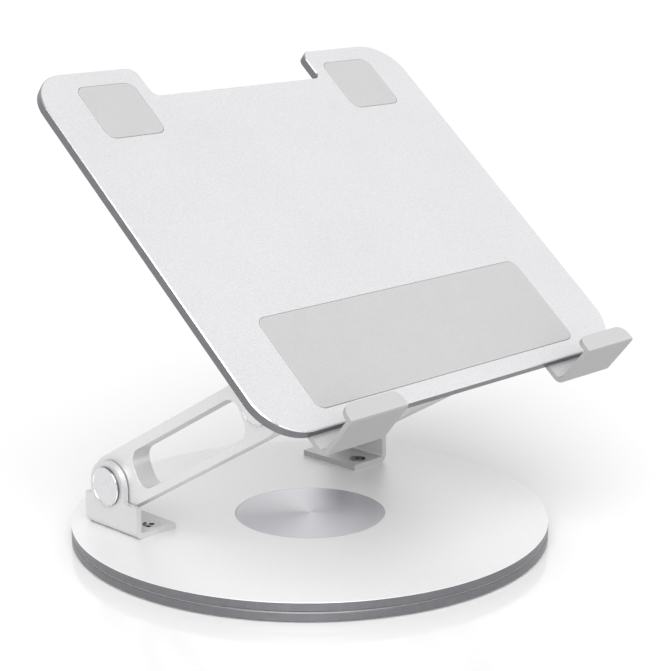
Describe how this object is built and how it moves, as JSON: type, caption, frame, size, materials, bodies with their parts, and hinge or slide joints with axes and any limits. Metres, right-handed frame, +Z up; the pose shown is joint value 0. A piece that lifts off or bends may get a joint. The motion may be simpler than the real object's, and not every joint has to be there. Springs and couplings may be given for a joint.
{
  "type": "tablet stand",
  "caption": "Folding tablet stand: hooked aluminium tray on twin side arms with friction hinges, over a swivelling round base.",
  "frame": {"origin": "centre of the base, on the surface that the stand rests on", "axes": "+Z up along the swivel axis, +X to the user's right along the hinge axes, -Y towards the user"},
  "size_m": [0.2, 0.2036, 0.1949],
  "materials": {
    "base_lower": "turned rim, dark anodised",
    "base_upper": "fine bead-blasted, silver-white anodised, turned grey rim",
    "brushed_inlay": "spun, with circular brush lines",
    "tray_aluminium": "fine bead-blasted, silver-white anodised, grey cut edge",
    "arm_aluminium": "satin anodised",
    "bracket_metal": "satin anodised bent sheet",
    "hook_aluminium": "satin anodised bent sheet",
    "silicone_grey": "matt moulded silicone",
    "silicone_dark": "matt moulded silicone",
    "cap_chrome": "polished chrome plate",
    "bright_steel": "bright zinc-plated or hardened steel",
    "nylon": "natural nylon",
    "cage_plastic": "moulded nylon"
  },
  "bodies": {
    "base": {"base_mat": "silicone_dark", "lower_disc": "base_lower", "lower_race": "bright_steel", "swivel_bolt": "bright_steel", "swivel_washer": "nylon", "swivel_nut": "bright_steel"},
    "ball_cage": {"bearing_cage": "cage_plastic", "bearing_balls": "bright_steel"},
    "turntable": {"upper_disc": "base_upper", "upper_race": "bright_steel", "centre_inlay": "brushed_inlay", "left_base_bracket": "bracket_metal", "right_base_bracket": "bracket_metal", "base_bracket_screws": "bright_steel", "left_lower_pin": "bright_steel", "right_lower_pin": "bright_steel", "left_lower_cap": "cap_chrome", "right_lower_cap": "cap_chrome", "lower_friction_washers": "nylon", "lower_spring_washers": "bright_steel", "lower_lock_nuts": "bright_steel"},
    "arms": {"left_arm": "arm_aluminium", "right_arm": "arm_aluminium"},
    "tray": {"tray_plate": "tray_aluminium", "pad_front": "silicone_grey", "pad_top_left": "silicone_grey", "pad_top_right": "silicone_grey", "left_hook": "hook_aluminium", "right_hook": "hook_aluminium", "hook_screws": "bright_steel", "left_tray_bracket": "bracket_metal", "right_tray_bracket": "bracket_metal", "tray_bracket_screws": "bright_steel", "left_upper_pin": "bright_steel", "right_upper_pin": "bright_steel", "left_upper_cap": "cap_chrome", "right_upper_cap": "cap_chrome", "upper_friction_washers": "nylon", "upper_spring_washers": "bright_steel", "upper_lock_nuts": "bright_steel"}
  },
  "joints": [
    {"name": "base_swivel", "type": "hinge", "parent": "base", "child": "turntable", "pos_m": [0, 0, 0], "axis": [0, 0, 1], "continuous": true},
    {"name": "cage_roll", "type": "hinge", "parent": "base", "child": "ball_cage", "pos_m": [0, 0, 0], "axis": [0, 0, 1], "continuous": true},
    {"name": "arm_tilt", "type": "hinge", "parent": "turntable", "child": "arms", "pos_m": [0, 0.0436, 0.0272], "axis": [-1, 0, 0], "range_deg": [-15, 42]},
    {"name": "tray_tilt", "type": "hinge", "parent": "arms", "child": "tray", "pos_m": [0, -0.04308, 0.07806], "axis": [1, 0, 0], "range_deg": [-55, 40]}
  ],
  "couplings": [
    {"joint": "cage_roll", "follows": "base_swivel", "ratio": 0.5}
  ]
}
